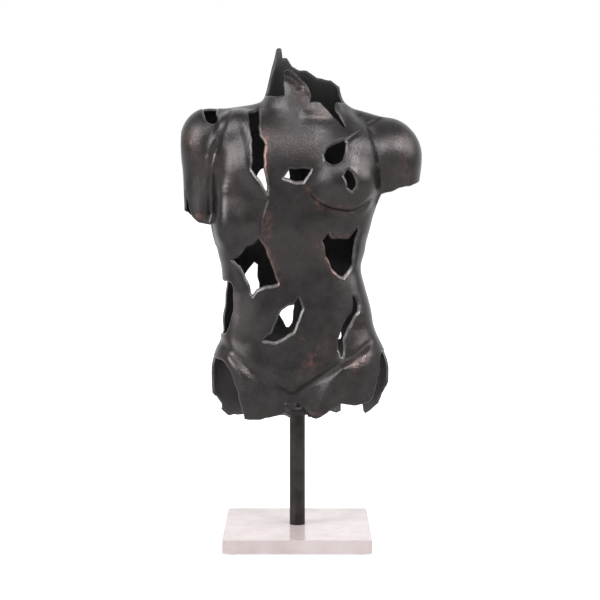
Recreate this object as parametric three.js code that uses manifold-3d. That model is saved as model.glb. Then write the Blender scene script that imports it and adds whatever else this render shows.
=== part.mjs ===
// Hollow aluminium torso on a round rod and a marble base plate.
// Millimetres, +Z up, the figure's front towards -Y, the floor at z = 0.
import * as THREE from 'three';
import { mergeVertices } from 'three/addons/utils/BufferGeometryUtils.js';
import Module from 'manifold-3d';

const wasm = await Module();
wasm.setup();

// Driving dimensions
const baseWidth = 150;
const baseDepth = 150;
const baseThickness = 14;
const baseCornerRadius = 3;
const baseEdgeChamfer = 1.2;
const padDiameter = 10;
const padThickness = 1.5;
const padInset = 11;
const rodDiameter = 16;
const rodSeatDepth = 8;
const rodStandHeight = 115.5;
const rodSocketDepth = 20;
const socketWall = 4;
const socketRelief = 1;
const cutOverrun = 1;
const fitClearance = 0.3;
const wallThickness = 3.5;
const figureHeight = 384;
const outerFacet = 10.4;
const innerFacet = 16;
const shortestEdge = 0.02;

// The figure is drawn about the rod's axis, with heights above its lowest hem, on a figure 384 high.
const drawnHeight = 384;
const drawnSocketBottom = 7;
const figureScale = figureHeight / drawnHeight;

// Trunk sections: height, left and right reach, front and back depth
const trunk = [
  { z: 12, left: -84, right: 88, front: 36, back: 44 },
  { z: 48, left: -84, right: 90, front: 42, back: 48 },
  { z: 66, left: -80.5, right: 88, front: 44, back: 47 },
  { z: 81, left: -78, right: 84, front: 45, back: 42 },
  { z: 98, left: -78, right: 79, front: 45, back: 38 },
  { z: 121, left: -77, right: 74, front: 43, back: 34 },
  { z: 141, left: -76, right: 68, front: 42, back: 32 },
  { z: 159, left: -77, right: 63.5, front: 42, back: 33 },
  { z: 176, left: -81, right: 68, front: 44, back: 37 },
  { z: 201, left: -84.5, right: 75, front: 48, back: 43 },
  { z: 226, left: -86, right: 80, front: 49, back: 48 },
  { z: 256, left: -84, right: 82, front: 46, back: 51 },
  { z: 281, left: -80, right: 82, front: 42, back: 50 },
  { z: 304, left: -66, right: 72, front: 35, back: 44 },
  { z: 322, left: -46, right: 52, front: 27, back: 36 },
];
const trunkSquareness = 2.3;
const trunkEndBlend = 26;

// Rounded masses, each melted into the trunk over its blend width
const masses = [
  { name: 'left buttock', centre: [-46, 28, 48], radii: [42, 36, 42], blend: 14 },
  { name: 'right buttock', centre: [50, 28, 46], radii: [43, 36, 42], blend: 14 },
  { name: 'left chest', centre: [-38, -20, 261], radii: [50, 30, 50], lean: -20, blend: 18 },
  { name: 'left ribs', centre: [-44, -22, 211], radii: [38, 26, 40], lean: 14, blend: 14 },
  { name: 'middle chest', centre: [8, -18, 267], radii: [44, 28, 46], blend: 18 },
  { name: 'right breast', centre: [47, -25, 249], radii: [34, 34, 32], blend: 22 },
  { name: 'right chest', centre: [46, -16, 272], radii: [34, 30, 30], lean: 25, blend: 14 },
  { name: 'left shoulder', centre: [-90, 4, 288], radii: [27, 30, 34], blend: 12 },
  { name: 'right shoulder', centre: [94, 2, 273], radii: [31, 32, 37], blend: 22 },
  { name: 'left shoulder blade', centre: [-42, 40, 261], radii: [30, 18, 38], blend: 14 },
  { name: 'right shoulder blade', centre: [46, 40, 259], radii: [30, 18, 38], blend: 14 },
  { name: 'pubic mound', centre: [-2, -30, 54], radii: [34, 16, 30], blend: 12 },
  { name: 'left collar', centre: [-60, -16, 294], radii: [24, 28, 24], blend: 12 },
  { name: 'right collar', centre: [56, -16, 279], radii: [26, 28, 24], blend: 20 },
];

// Tapered limbs from one end to the other, each with its radius there
const limbs = [
  { name: 'left thigh', from: [-45, 2, 54], to: [-46, 3, -19], radii: [43, 41], blend: 16 },
  { name: 'right thigh', from: [50, 0, 52], to: [51, 2, -19], radii: [44, 42], blend: 16 },
  { name: 'left shoulder line', from: [-94, 6, 296], to: [-40, 8, 304], radii: [22, 22], blend: 10 },
  { name: 'right shoulder line', from: [90, 6, 290], to: [40, 8, 306], radii: [21, 20], blend: 10 },
  { name: 'left arm', from: [-93, 6, 281], to: [-95, 8, 206], radii: [25, 21], blend: 8 },
  { name: 'right stump', from: [96, 2, 271], to: [100, 4, 240], radii: [27, 24.5], blend: 20 },
  { name: 'neck', from: [6, 9, 316], to: [7, 6, 401], radii: [43, 24], blend: 16 },
];

// Folds pressed into the front or the back, and one crest raised, each along a curve seen from the front
const folds = [
  { name: 'left groin', face: -1, depth: 2.6, width: 7,
    path: [[-84, 86], [-69.5, 75.5], [-51.5, 62], [-35, 51], [-20, 41]] },
  { name: 'right groin and pubic line', face: -1, depth: 3, width: 6,
    path: [[-30, 46], [-16.5, 38], [-4, 32.5], [5.5, 39.5], [23.5, 51], [44, 64], [62.5, 75.5], [80, 88]] },
  { name: 'left chest fold', face: -1, depth: 2.2, width: 6,
    path: [[-69, 320], [-74, 302.5], [-80, 288], [-83.5, 275]] },
  { name: 'left armpit', face: -1, depth: 4.2, width: 8,
    path: [[-80, 284], [-84.5, 266], [-82, 248], [-75.5, 234], [-62, 224], [-48, 218]] },
  { name: 'right chest fold', face: -1, depth: 2.4, width: 5,
    path: [[68.5, 304], [73.5, 293.5], [77.5, 279.5], [82, 262], [82.5, 236]] },
  { name: 'under the breast', face: -1, depth: 2.2, width: 6,
    path: [[7, 243], [16.5, 231], [31.5, 220.5], [56, 217.5], [68, 225.5], [79, 240]] },
  { name: 'middle of the belly', face: -1, depth: 1.2, width: 5,
    path: [[2, 226], [1, 180], [1, 132]] },
  { name: 'crest of the left chest', face: -1, depth: -3, width: 9,
    path: [[-67, 326], [-62, 298], [-57, 281], [-51, 263], [-42, 249], [-29, 232]] },
  { name: 'spine', face: 1, depth: 5, width: 9, path: [[2, 306], [2, 200], [3, 91]] },
  { name: 'seat', face: 1, depth: 9, width: 8, path: [[3, 91], [3, 45], [3, -4]] },
];
const foldFaceBand = 20;
const foldCurveSteps = 4;
const innerFoldSpread = 5;

// Breaks and holes, each an outline seen from the front and cut through the front or the back wall
const openings = [
  { name: 'shoulder notch', face: 'front', outline: [
    [-96, 324], [-94, 312], [-92, 308], [-88, 303], [-84, 304], [-82, 312], [-82, 324]] },
  { name: 'long split in the left chest', face: 'front', outline: [
    [-38, 324], [-36, 294], [-30, 284], [-32, 274], [-32, 266], [-30, 252], [-28, 239], [-29, 233],
    [-40, 250], [-47, 260], [-46, 278], [-48, 302], [-50, 317], [-42, 320]] },
  { name: 'hole in the breastbone', face: 'front', outline: [
    [-16, 251], [-7, 262], [6, 262], [16, 261], [6, 246], [-6, 248]] },
  { name: 'hole above the breast', face: 'front', outline: [
    [25, 268], [24, 274], [28, 282], [39, 289], [48, 290], [50, 286], [48, 276], [44, 268], [36, 264]] },
  { name: 'hole in the breast', face: 'front', outline: [
    [46, 254], [49, 259], [52, 260], [56, 256], [58, 249], [58, 241], [54, 238], [49, 242]] },
  { name: 'hole in the left waist', face: 'front', outline: [
    [-38, 193], [-44, 186], [-53, 182], [-61, 172], [-68, 168], [-58, 160], [-52, 146], [-48, 134],
    [-45, 131], [-41, 138], [-38, 140], [-20, 144], [-18, 147], [-24, 162], [-30, 178]] },
  { name: 'crescent in the belly', face: 'front', outline: [
    [1, 134], [5, 128], [6, 120], [2, 108], [-4, 96], [-12, 90], [-22, 86], [-36, 86], [-34, 91],
    [-28, 96], [-22, 108], [-18, 120], [-10, 124], [-4, 126]] },
  { name: 'hole in the right waist', face: 'front', outline: [
    [24, 188], [32, 198], [35, 192], [52, 190], [62, 204], [63, 196], [59, 188], [58, 174],
    [57, 164], [54, 158], [48, 150], [43, 152], [34, 160], [29, 170], [26, 182]] },
  { name: 'slot in the right belly', face: 'front', outline: [
    [56, 135], [61, 132], [63, 123], [62, 115], [56, 106], [51, 98], [48, 88], [48, 78], [46, 70],
    [43, 72], [40, 79], [40, 86], [42, 96], [48, 108], [54, 116], [56, 125]] },
  { name: 'gap in the left side', face: 'front', outline: [
    [-84, 144], [-74, 146], [-68, 144], [-66, 136], [-66, 122], [-68, 108], [-74, 94], [-85, 90]] },
  { name: 'gap in the left hip', face: 'front', outline: [
    [-106, 64], [-78, 67], [-74, 64], [-68, 54], [-62, 38], [-58, 22], [-54, 6], [-58, -14],
    [-106, -20]] },
  { name: 'gap in the right hip', face: 'front', outline: [
    [87, 73], [86, 66], [85, 56], [82, 42], [78, 30], [76, 25], [78, -4], [117, -10], [116, 70]] },
  { name: 'front hem', face: 'front', outline: [
    [-122, 0], [-54, 6], [-34, 7], [-22, 8], [-8, 8], [-2, 14], [8, 3], [20, 5], [30, 14], [36, 19],
    [44, 23], [56, 22], [66, 22], [76, 25], [127, 26], [128, -104], [-122, -104]] },
  { name: 'back hem', face: 'back', outline: [
    [-122, 30], [-90, 26], [-86, 21], [-82, 14], [-82, 8], [-74, 0], [-20, 0], [24, 2], [34, 3],
    [46, 0], [46, 13], [69, 14], [70, 9], [72, 0], [87, 13], [93, 28], [96, 39], [127, 46],
    [128, -106], [-122, -106]] },
  { name: 'end of the left arm in front', face: 'front', outline: [
    [-150, 238], [-117, 238], [-114, 226], [-108, 210], [-102, 206], [-93, 204], [-88, 202],
    [-87.5, 194], [-86, 180], [-84, 136], [-152, 136]] },
  { name: 'end of the left arm behind', face: 'back', outline: [
    [-152, 216], [-116, 216], [-108, 208], [-102, 204], [-90, 201], [-88, 196], [-86, 180],
    [-84, 136], [-152, 136]] },
  { name: 'end of the right arm', face: 'through', outline: [
    [156, 257], [121, 244], [104, 240], [86, 233], [83.5, 228], [82, 220], [79, 204], [77, 190],
    [76, 167], [157, 167]] },
  { name: 'broken neck in front', face: 'front', outline: [
    [-78, 370], [-42, 340], [-32, 334], [-14, 334], [-15, 358], [-12, 360], [-8, 360], [1, 353],
    [10, 344], [14, 336], [13, 328], [24, 328], [29, 322], [38, 313], [48, 302], [44, 310],
    [39, 320], [40, 328], [48, 328], [76, 340], [76, 451], [-78, 451]] },
  { name: 'broken neck behind', face: 'back', outline: [
    [-78, 384], [-18, 384], [-17, 374], [-14, 376], [-6, 366], [4, 362], [10, 362], [21, 355],
    [30, 352], [37, 352], [46, 344], [50, 332], [84, 340], [84, 452], [-78, 452]] },
  { name: 'hole between the shoulder blades', face: 'back', outline: [
    [-38, 260], [-8, 260], [-8, 250], [-13, 236], [-29, 230], [-38, 236], [-44, 250]] },
  { name: 'hole in the left loin', face: 'back', outline: [
    [-46, 162], [-42, 160], [-42, 148], [-40, 134], [-41, 123], [-54, 124], [-62, 140], [-54, 152]] },
  { name: 'hole in the middle of the loin', face: 'back', outline: [
    [-22, 118], [-4, 123], [-4, 109], [-6, 99], [-9, 94], [-12, 94], [-17, 104]] },
  { name: 'hole in the right loin', face: 'back', outline: [
    [40, 93], [46, 91], [47, 85], [45, 81], [40, 82]] },
];
const frontBackSplit = 8;
const splitOverlap = 0.4;
const cutReach = 160;

// Field of the figure: below zero inside, above zero outside, roughly in millimetres

function meltTogether(a, b, width) {
  const h = Math.max(width - Math.abs(a - b), 0) / width;
  return Math.min(a, b) - (h * h * h * width) / 6;
}

function trunkAt(z) {
  const last = trunk.length - 1;
  const height = THREE.MathUtils.clamp(z, trunk[0].z, trunk[last].z);
  let i = 0;
  while (i < last - 1 && trunk[i + 1].z < height) i += 1;
  const step = trunk[i + 1].z - trunk[i].z;
  const t = (height - trunk[i].z) / step;
  const section = {};
  for (const key of ['left', 'right', 'front', 'back']) {
    const slope = (k) => {
      const a = trunk[Math.max(k - 1, 0)];
      const b = trunk[Math.min(k + 1, last)];
      return (b[key] - a[key]) / (b.z - a.z);
    };
    section[key] = (2 * t ** 3 - 3 * t ** 2 + 1) * trunk[i][key]
      + (t ** 3 - 2 * t ** 2 + t) * step * slope(i)
      + (3 * t ** 2 - 2 * t ** 3) * trunk[i + 1][key]
      + (t ** 3 - t ** 2) * step * slope(i + 1);
  }
  return section;
}

function trunkField(p) {
  const section = trunkAt(p.z);
  const middle = (section.left + section.right) / 2;
  const halfWidth = (section.right - section.left) / 2;
  const depth = p.y < 0 ? section.front : section.back;
  const u = Math.abs((p.x - middle) / halfWidth);
  const v = Math.abs(p.y / depth);
  const reach = (u ** trunkSquareness + v ** trunkSquareness + 1e-9) ** (1 / trunkSquareness);
  const side = Math.hypot(p.x - middle, p.y) * (1 - 1 / reach);
  const ends = Math.max(p.z - trunk[trunk.length - 1].z, trunk[0].z - p.z);
  return -meltTogether(-side, -ends, trunkEndBlend);
}

function massField(p, mass) {
  const lean = THREE.MathUtils.degToRad(mass.lean ?? 0);
  const dx = p.x - mass.centre[0];
  const dz = p.z - mass.centre[2];
  const q = [dx * Math.cos(lean) - dz * Math.sin(lean), p.y - mass.centre[1],
    dx * Math.sin(lean) + dz * Math.cos(lean)];
  const near = Math.hypot(...q.map((value, i) => value / mass.radii[i]));
  const slope = Math.hypot(...q.map((value, i) => value / mass.radii[i] ** 2));
  return (near * (near - 1)) / Math.max(slope, 1e-9);
}

function limbField(p, limb) {
  const from = new THREE.Vector3(...limb.from);
  const along = new THREE.Vector3(...limb.to).sub(from);
  const offset = new THREE.Vector3().subVectors(p, from);
  const t = THREE.MathUtils.clamp(offset.dot(along) / along.lengthSq(), 0, 1);
  const radius = THREE.MathUtils.lerp(limb.radii[0], limb.radii[1], t);
  return offset.addScaledVector(along, -t).length() - radius;
}

function figureField(p) {
  let value = trunkField(p);
  for (const mass of masses) value = meltTogether(value, massField(p, mass), mass.blend);
  for (const limb of limbs) value = meltTogether(value, limbField(p, limb), limb.blend);
  return value;
}

for (const fold of folds) {
  const points = fold.path.map(([x, z]) => new THREE.Vector2(x, z));
  fold.line = new THREE.SplineCurve(points).getPoints(foldCurveSteps * (points.length - 1));
}

function distanceToLine(x, z, line) {
  let nearest = Infinity;
  for (let i = 1; i < line.length; i += 1) {
    const a = line[i - 1];
    const dx = line[i].x - a.x;
    const dz = line[i].y - a.y;
    const share = ((x - a.x) * dx + (z - a.y) * dz) / (dx * dx + dz * dz);
    const t = THREE.MathUtils.clamp(share, 0, 1);
    nearest = Math.min(nearest, Math.hypot(x - a.x - t * dx, z - a.y - t * dz));
  }
  return nearest;
}

function foldDepth(p, spread) {
  let total = 0;
  for (const fold of folds) {
    const faceShare = 0.5 + (fold.face * (p.y - frontBackSplit / 2)) / foldFaceBand;
    const mask = THREE.MathUtils.smoothstep(faceShare, 0, 1);
    if (mask === 0) continue;
    const away = distanceToLine(p.x, p.z, fold.line) / (fold.width + spread);
    total += fold.depth * Math.exp(-away * away) * mask;
  }
  return total;
}

const outerField = (p) => figureField(p) + foldDepth(p, 0);
const innerField = (p) => figureField(p) + foldDepth(p, innerFoldSpread) + wallThickness / figureScale;

// Skin of a field: one point in each grid cell that the surface crosses, joined across the cell edges

const fillDepth = 0.1;
const slopeProbe = 0.5;
const settleRounds = 4;
const drawnBox = { min: [-132, -76, -76], max: [140, 84, 446] };

function settle(point, field) {
  const probe = slopeProbe;
  const start = point.clone();
  for (let round = 0; round < settleRounds; round += 1) {
    const value = field(point);
    const slope = new THREE.Vector3(
      field(point.clone().setX(point.x + probe)) - field(point.clone().setX(point.x - probe)),
      field(point.clone().setY(point.y + probe)) - field(point.clone().setY(point.y - probe)),
      field(point.clone().setZ(point.z + probe)) - field(point.clone().setZ(point.z - probe)),
    ).divideScalar(2 * probe);
    point.addScaledVector(slope, -value / Math.max(slope.lengthSq(), 0.1));
    const drift = point.clone().sub(start).clampLength(0, outerFacet / 2);
    point.copy(start).add(drift);
  }
  return point;
}

// Fills one corner wherever two corners of a grid square touch only across its diagonal
function fillDiagonals(values, count, index) {
  const steps = [[1, 0, 0], [0, 1, 0], [0, 0, 1]];
  let filled = true;
  while (filled) {
    filled = false;
    for (let k = 0; k < count[2] - 1; k += 1) {
      for (let j = 0; j < count[1] - 1; j += 1) {
        for (let i = 0; i < count[0] - 1; i += 1) {
          for (let axis = 0; axis < 3; axis += 1) {
            const [u, v] = [steps[(axis + 1) % 3], steps[(axis + 2) % 3]];
            const square = [[0, 0], [1, 0], [1, 1], [0, 1]].map(([s, t]) => index(
              i + s * u[0] + t * v[0], j + s * u[1] + t * v[1], k + s * u[2] + t * v[2]));
            const inside = square.map((n) => values[n] < 0);
            if (inside[0] !== inside[2] || inside[1] !== inside[3] || inside[0] === inside[1]) continue;
            values[inside[0] ? square[1] : square[0]] = -fillDepth;
            filled = true;
          }
        }
      }
    }
  }
}

function skinOf(field, facet) {
  const count = drawnBox.min.map((low, i) => Math.ceil((drawnBox.max[i] - low) / facet) + 1);
  const place = (i, j, k) => new THREE.Vector3(
    drawnBox.min[0] + i * facet, drawnBox.min[1] + j * facet, drawnBox.min[2] + k * facet);
  const index = (i, j, k) => (k * count[1] + j) * count[0] + i;
  const values = new Float64Array(count[0] * count[1] * count[2]);
  for (let k = 0; k < count[2]; k += 1) {
    for (let j = 0; j < count[1]; j += 1) {
      for (let i = 0; i < count[0]; i += 1) values[index(i, j, k)] = field(place(i, j, k));
    }
  }
  fillDiagonals(values, count, index);
  const corners = [0, 1, 2, 3, 4, 5, 6, 7].map((n) => [n & 1, (n >> 1) & 1, (n >> 2) & 1]);
  const positions = [];
  const cellPoint = new Map();
  for (let k = 0; k < count[2] - 1; k += 1) {
    for (let j = 0; j < count[1] - 1; j += 1) {
      for (let i = 0; i < count[0] - 1; i += 1) {
        const sum = new THREE.Vector3();
        let crossings = 0;
        for (let a = 0; a < 8; a += 1) {
          for (const bit of [1, 2, 4]) {
            if (a & bit) continue;
            const [p, q] = [corners[a], corners[a | bit]];
            const va = values[index(i + p[0], j + p[1], k + p[2])];
            const vb = values[index(i + q[0], j + q[1], k + q[2])];
            if (va < 0 === vb < 0) continue;
            const from = place(i + p[0], j + p[1], k + p[2]);
            sum.add(from.lerp(place(i + q[0], j + q[1], k + q[2]), va / (va - vb)));
            crossings += 1;
          }
        }
        if (crossings === 0) continue;
        cellPoint.set(index(i, j, k), positions.length / 3);
        positions.push(...settle(sum.divideScalar(crossings), field).toArray());
      }
    }
  }
  const triangles = [];
  const steps = [[1, 0, 0], [0, 1, 0], [0, 0, 1]];
  for (let k = 1; k < count[2] - 1; k += 1) {
    for (let j = 1; j < count[1] - 1; j += 1) {
      for (let i = 1; i < count[0] - 1; i += 1) {
        for (let axis = 0; axis < 3; axis += 1) {
          const [dx, dy, dz] = steps[axis];
          const here = values[index(i, j, k)] < 0;
          const next = values[index(i + dx, j + dy, k + dz)] < 0;
          if (here === next) continue;
          const u = steps[(axis + 1) % 3];
          const v = steps[(axis + 2) % 3];
          const ring = [[0, 0], [1, 0], [1, 1], [0, 1]].map(([s, t]) => cellPoint.get(
            index(i - s * u[0] - t * v[0], j - s * u[1] - t * v[1], k - s * u[2] - t * v[2])));
          if (!here) ring.reverse();
          const point = (n) => new THREE.Vector3().fromArray(positions, 3 * ring[n]);
          const firstDiagonal = point(0).distanceTo(point(2)) < point(1).distanceTo(point(3));
          const [a, b, c, d] = firstDiagonal ? ring : [ring[1], ring[2], ring[3], ring[0]];
          triangles.push(a, b, c, a, c, d);
        }
      }
    }
  }
  const geometry = new THREE.BufferGeometry();
  geometry.setAttribute('position', new THREE.Float32BufferAttribute(positions, 3));
  geometry.setIndex(triangles);
  return geometry;
}

// Solids and back again

function toSolid(geometry) {
  const bare = geometry.clone();
  bare.deleteAttribute('normal');
  bare.deleteAttribute('uv');
  const merged = mergeVertices(bare, 1e-4);
  return new wasm.Manifold(new wasm.Mesh({
    numProp: 3,
    vertProperties: new Float32Array(merged.attributes.position.array),
    triVerts: new Uint32Array(merged.index.array),
  }));
}

function toGeometry(solid) {
  const mesh = solid.getMesh();
  const geometry = new THREE.BufferGeometry();
  geometry.setAttribute('position', new THREE.BufferAttribute(mesh.vertProperties, 3));
  geometry.setIndex(new THREE.BufferAttribute(mesh.triVerts, 1));
  return geometry;
}

// Joins the ends of edges too short to matter, which the cuts leave behind
function withoutShortEdges(geometry) {
  const index = geometry.index.array;
  const vertex = (n) => new THREE.Vector3().fromBufferAttribute(geometry.attributes.position, n);
  const keeper = Array.from({ length: geometry.attributes.position.count }, (_, n) => n);
  const find = (n) => {
    let root = n;
    while (keeper[root] !== root) root = keeper[root];
    return root;
  };
  for (let t = 0; t < index.length; t += 3) {
    for (let side = 0; side < 3; side += 1) {
      const a = index[t + side];
      const b = index[t + ((side + 1) % 3)];
      if (vertex(a).distanceTo(vertex(b)) < shortestEdge) keeper[find(b)] = find(a);
    }
  }
  const kept = new Map();
  for (let t = 0; t < index.length; t += 3) {
    const face = [find(index[t]), find(index[t + 1]), find(index[t + 2])];
    if (new Set(face).size < 3) continue;
    const key = [...face].sort((a, b) => a - b).join(' ');
    if (kept.has(key)) kept.delete(key);
    else kept.set(key, face);
  }
  geometry.setIndex([...kept.values()].flat());
  return geometry;
}

function uprightCylinder(diameter, bottom, top, sides = 24) {
  const geometry = new THREE.CylinderGeometry(diameter / 2, diameter / 2, top - bottom, sides);
  return geometry.rotateX(Math.PI / 2).translate(0, 0, (bottom + top) / 2);
}

function openingSolid({ face, outline }) {
  const reach = face === 'through' ? 2 * cutReach : cutReach;
  const shape = new THREE.Shape(outline.map(([x, z]) => new THREE.Vector2(x, z)));
  const cutter = new THREE.ExtrudeGeometry(shape, { depth: reach, bevelEnabled: false });
  cutter.rotateX(Math.PI / 2);
  const start = { front: frontBackSplit, back: frontBackSplit + cutReach - splitOverlap, through: cutReach };
  return toSolid(cutter.translate(0, start[face], 0));
}

// Levels, worked out from the sizes above
const baseBottom = padThickness + fitClearance;
const baseTop = baseBottom + baseThickness;
const rodBottom = baseTop - rodSeatDepth + fitClearance;
const rodShoulder = baseTop + rodStandHeight;
const hemLevel = rodShoulder - drawnSocketBottom * figureScale;
const rodTop = rodShoulder + rodSocketDepth;

function torsoShell() {
  const outer = toSolid(skinOf(outerField, outerFacet));
  const inner = toSolid(skinOf(innerField, innerFacet));
  let shell = outer.subtract(inner);
  for (const opening of openings) shell = shell.subtract(openingSolid(opening));
  shell = toSolid(toGeometry(shell).scale(figureScale, figureScale, figureScale)
    .translate(0, 0, hemLevel));
  const bossDiameter = rodDiameter + 2 * (fitClearance + socketWall);
  const bossTop = rodTop + fitClearance + socketWall;
  shell = shell.subtract(toSolid(uprightCylinder(bossDiameter + 2 * socketRelief, 0, rodShoulder)));
  shell = shell.add(toSolid(uprightCylinder(bossDiameter, rodShoulder, bossTop)));
  const bore = uprightCylinder(rodDiameter + 2 * fitClearance, rodShoulder - cutOverrun,
    rodTop + fitClearance);
  return withoutShortEdges(toGeometry(shell.subtract(toSolid(bore))));
}

function marbleBase() {
  const outline = new THREE.Shape();
  const r = baseCornerRadius - baseEdgeChamfer;
  const w = baseWidth / 2 - baseEdgeChamfer;
  const d = baseDepth / 2 - baseEdgeChamfer;
  outline.moveTo(-w + r, -d);
  outline.lineTo(w - r, -d);
  outline.absarc(w - r, -d + r, r, -Math.PI / 2, 0, false);
  outline.absarc(w - r, d - r, r, 0, Math.PI / 2, false);
  outline.absarc(-w + r, d - r, r, Math.PI / 2, Math.PI, false);
  outline.absarc(-w + r, -d + r, r, Math.PI, 1.5 * Math.PI, false);
  const slab = new THREE.ExtrudeGeometry(outline, {
    depth: baseThickness - 2 * baseEdgeChamfer,
    bevelThickness: baseEdgeChamfer,
    bevelSize: baseEdgeChamfer,
    bevelSegments: 1,
    curveSegments: 4,
  });
  slab.translate(0, 0, baseBottom + baseEdgeChamfer);
  const seat = uprightCylinder(rodDiameter + 2 * fitClearance, baseTop - rodSeatDepth,
    baseTop + cutOverrun);
  return toGeometry(toSolid(slab).subtract(toSolid(seat)));
}

// Finishes
const bronzedAluminium = { color: 0x4a4444, roughness: 0.38, metalness: 0.85 };
const darkRod = { color: 0x3c3636, roughness: 0.35, metalness: 0.6 };
const paleMarble = { color: 0xe6dad8, roughness: 0.25, metalness: 0 };
const clearRubber = { color: 0xd8d8d4, roughness: 0.5, metalness: 0 };

function piece(name, geometry, finish) {
  const mesh = new THREE.Mesh(geometry, new THREE.MeshStandardMaterial(finish));
  mesh.name = name;
  return mesh;
}

// The sculpture
const sculpture = new THREE.Group();
const torso = piece('torso_shell', torsoShell(), bronzedAluminium);
sculpture.add(torso);
sculpture.add(piece('support_rod', uprightCylinder(rodDiameter, rodBottom, rodTop), darkRod));
sculpture.add(piece('marble_base', marbleBase(), paleMarble));
for (const [depthName, depthSide] of [['front', -1], ['back', 1]]) {
  for (const [widthName, widthSide] of [['left', -1], ['right', 1]]) {
    const name = `foot_pad_${depthName}_${widthName}`;
    const pad = piece(name, uprightCylinder(padDiameter, 0, padThickness, 12), clearRubber);
    pad.position.x = widthSide * (baseWidth / 2 - padInset);
    pad.position.y = depthSide * (baseDepth / 2 - padInset);
    sculpture.add(pad);
  }
}

// The origin lies on the floor under the middle of the whole work
const reach = new THREE.Box3().setFromObject(sculpture);
sculpture.position.x = -(reach.min.x + reach.max.x) / 2;
sculpture.position.y = -(reach.min.y + reach.max.y) / 2;

export default sculpture;
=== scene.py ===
import math

import bmesh
import bpy
import numpy as np
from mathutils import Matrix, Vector


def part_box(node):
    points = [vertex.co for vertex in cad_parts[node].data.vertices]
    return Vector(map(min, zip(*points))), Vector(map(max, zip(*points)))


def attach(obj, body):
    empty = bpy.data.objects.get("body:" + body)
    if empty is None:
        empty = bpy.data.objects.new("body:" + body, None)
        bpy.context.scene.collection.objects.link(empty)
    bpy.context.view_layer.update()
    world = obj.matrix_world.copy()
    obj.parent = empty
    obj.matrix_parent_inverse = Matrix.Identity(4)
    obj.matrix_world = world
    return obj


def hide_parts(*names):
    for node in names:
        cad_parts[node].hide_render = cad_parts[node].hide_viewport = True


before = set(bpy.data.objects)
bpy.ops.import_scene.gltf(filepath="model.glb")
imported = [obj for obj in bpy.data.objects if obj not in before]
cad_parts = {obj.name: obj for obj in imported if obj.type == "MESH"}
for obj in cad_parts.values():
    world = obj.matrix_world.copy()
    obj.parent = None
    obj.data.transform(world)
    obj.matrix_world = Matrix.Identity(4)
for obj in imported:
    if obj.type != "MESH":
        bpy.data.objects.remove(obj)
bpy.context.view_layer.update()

# Places read from the model: the rod's axis and the level the figure is drawn from
MM = 0.001
rod_low, rod_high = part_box("support_rod")
base_low, base_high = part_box("marble_base")
torso_low, torso_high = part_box("torso_shell")
AXIS_X = (rod_low[0] + rod_high[0]) / 2
AXIS_Y = (rod_low[1] + rod_high[1]) / 2
ROD_RADIUS = (rod_high[0] - rod_low[0]) / 2
SOCKET_DEPTH = 20 * MM
SOCKET_ABOVE_HEM = 7 * MM
SOCKET_BOTTOM = rod_high[2] - SOCKET_DEPTH
HEM_LEVEL = SOCKET_BOTTOM - SOCKET_ABOVE_HEM
DRAWN_HEIGHT = 384
FIGURE_SCALE = (torso_high[2] - HEM_LEVEL) / DRAWN_HEIGHT

# The camera, about 1.7 m in front and a little above the figure's middle
CAMERA_AT = (AXIS_X + 0.00278, AXIS_Y - 1.67438, 0.39794)
CAMERA_PITCH = math.radians(5.06)
SENSOR_WIDTH = 36
LENS = 97.96
CLIP_END = 50

# The casting, in millimetres on the drawn figure: its wall, its mesh's grid and the box that it is drawn in
WALL = 3.5
GRID = 2.4
DRAWN_LOW = np.array([-128.0, -72, -46])
DRAWN_HIGH = np.array([134.0, 78, 400])
FAR = 1e9

# Where the openings of the front meet those of the back, and how far that line wanders
FRONT_BACK_SPLIT = 8
SPLIT_BROAD = 1.6
SPLIT_FINE = 1.0

# The torn edges' wander: two waves' heights, and the depth over which the fine one drifts
TORN_BROAD = 0.4
TORN_FINE = 0.2
TORN_DRIFT = 5
ON_BREAK = 0.5

# The lips along the breaks, broad on the front's holes and below or to the right of them
LIP_BULGE = 1.9
BROAD_LIP_MARGIN = 4
HOLE_LIP_START = 0.3
HOLE_LIP_REACH = 1.6
LOWER_LIP_EXTRA = 2.0
RIGHT_LIP_EXTRA = 0.9
WALL_MARGIN = 1.5
LIP_BRIGHTNESS = 1
DIM_LIP_BRIGHTNESS = 0.62
EDGE_BRIGHTNESS = 0.6
EDGE_FADE = 1.2
# A lip's section: share of the wall's depth, share of the lip's reach
LIP_PROFILE = ((0.03, 0.12), (0.1, 0.3), (0.22, 0.56), (0.36, 0.8), (0.52, 0.95), (0.7, 1.0), (0.9, 0.85))
HOLE_NAMES = ("hole", "split", "slot", "crescent", "shoulder notch")
BRIGHT_EDGE_NAMES = HOLE_NAMES + ("gap",)

# Where painted daylight lightens the inner wall: from below the hips down, and close to the broken neck
HEM_LIGHT_TOP = 95
HEM_LIGHT_BAND = 60
NECK_LIGHT_FOOT = 300
NECK_LIGHT_BAND = 30
NECK_LIGHT_SHARE = 0.3
NECK_LIGHT_FADE = 7

# Trunk sections: height, left and right reach, front and back depth
TRUNK = np.array([
    (12, -84, 88, 36, 44), (48, -84, 90, 42, 48), (66, -80.5, 88, 44, 47),
    (81, -78, 84, 45, 42), (98, -78, 79, 45, 38), (121, -77, 74, 43, 34),
    (141, -76, 68, 42, 32), (159, -77, 63.5, 42, 33), (176, -81, 68, 44, 37),
    (201, -84.5, 75, 48, 43), (226, -86, 80, 49, 48), (256, -84, 82, 46, 51),
    (281, -80, 82, 42, 50), (304, -66, 72, 35, 44), (322, -46, 52, 27, 36),
], float)
TRUNK_SQUARENESS = 2.3
TRUNK_END_BLEND = 26

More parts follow.
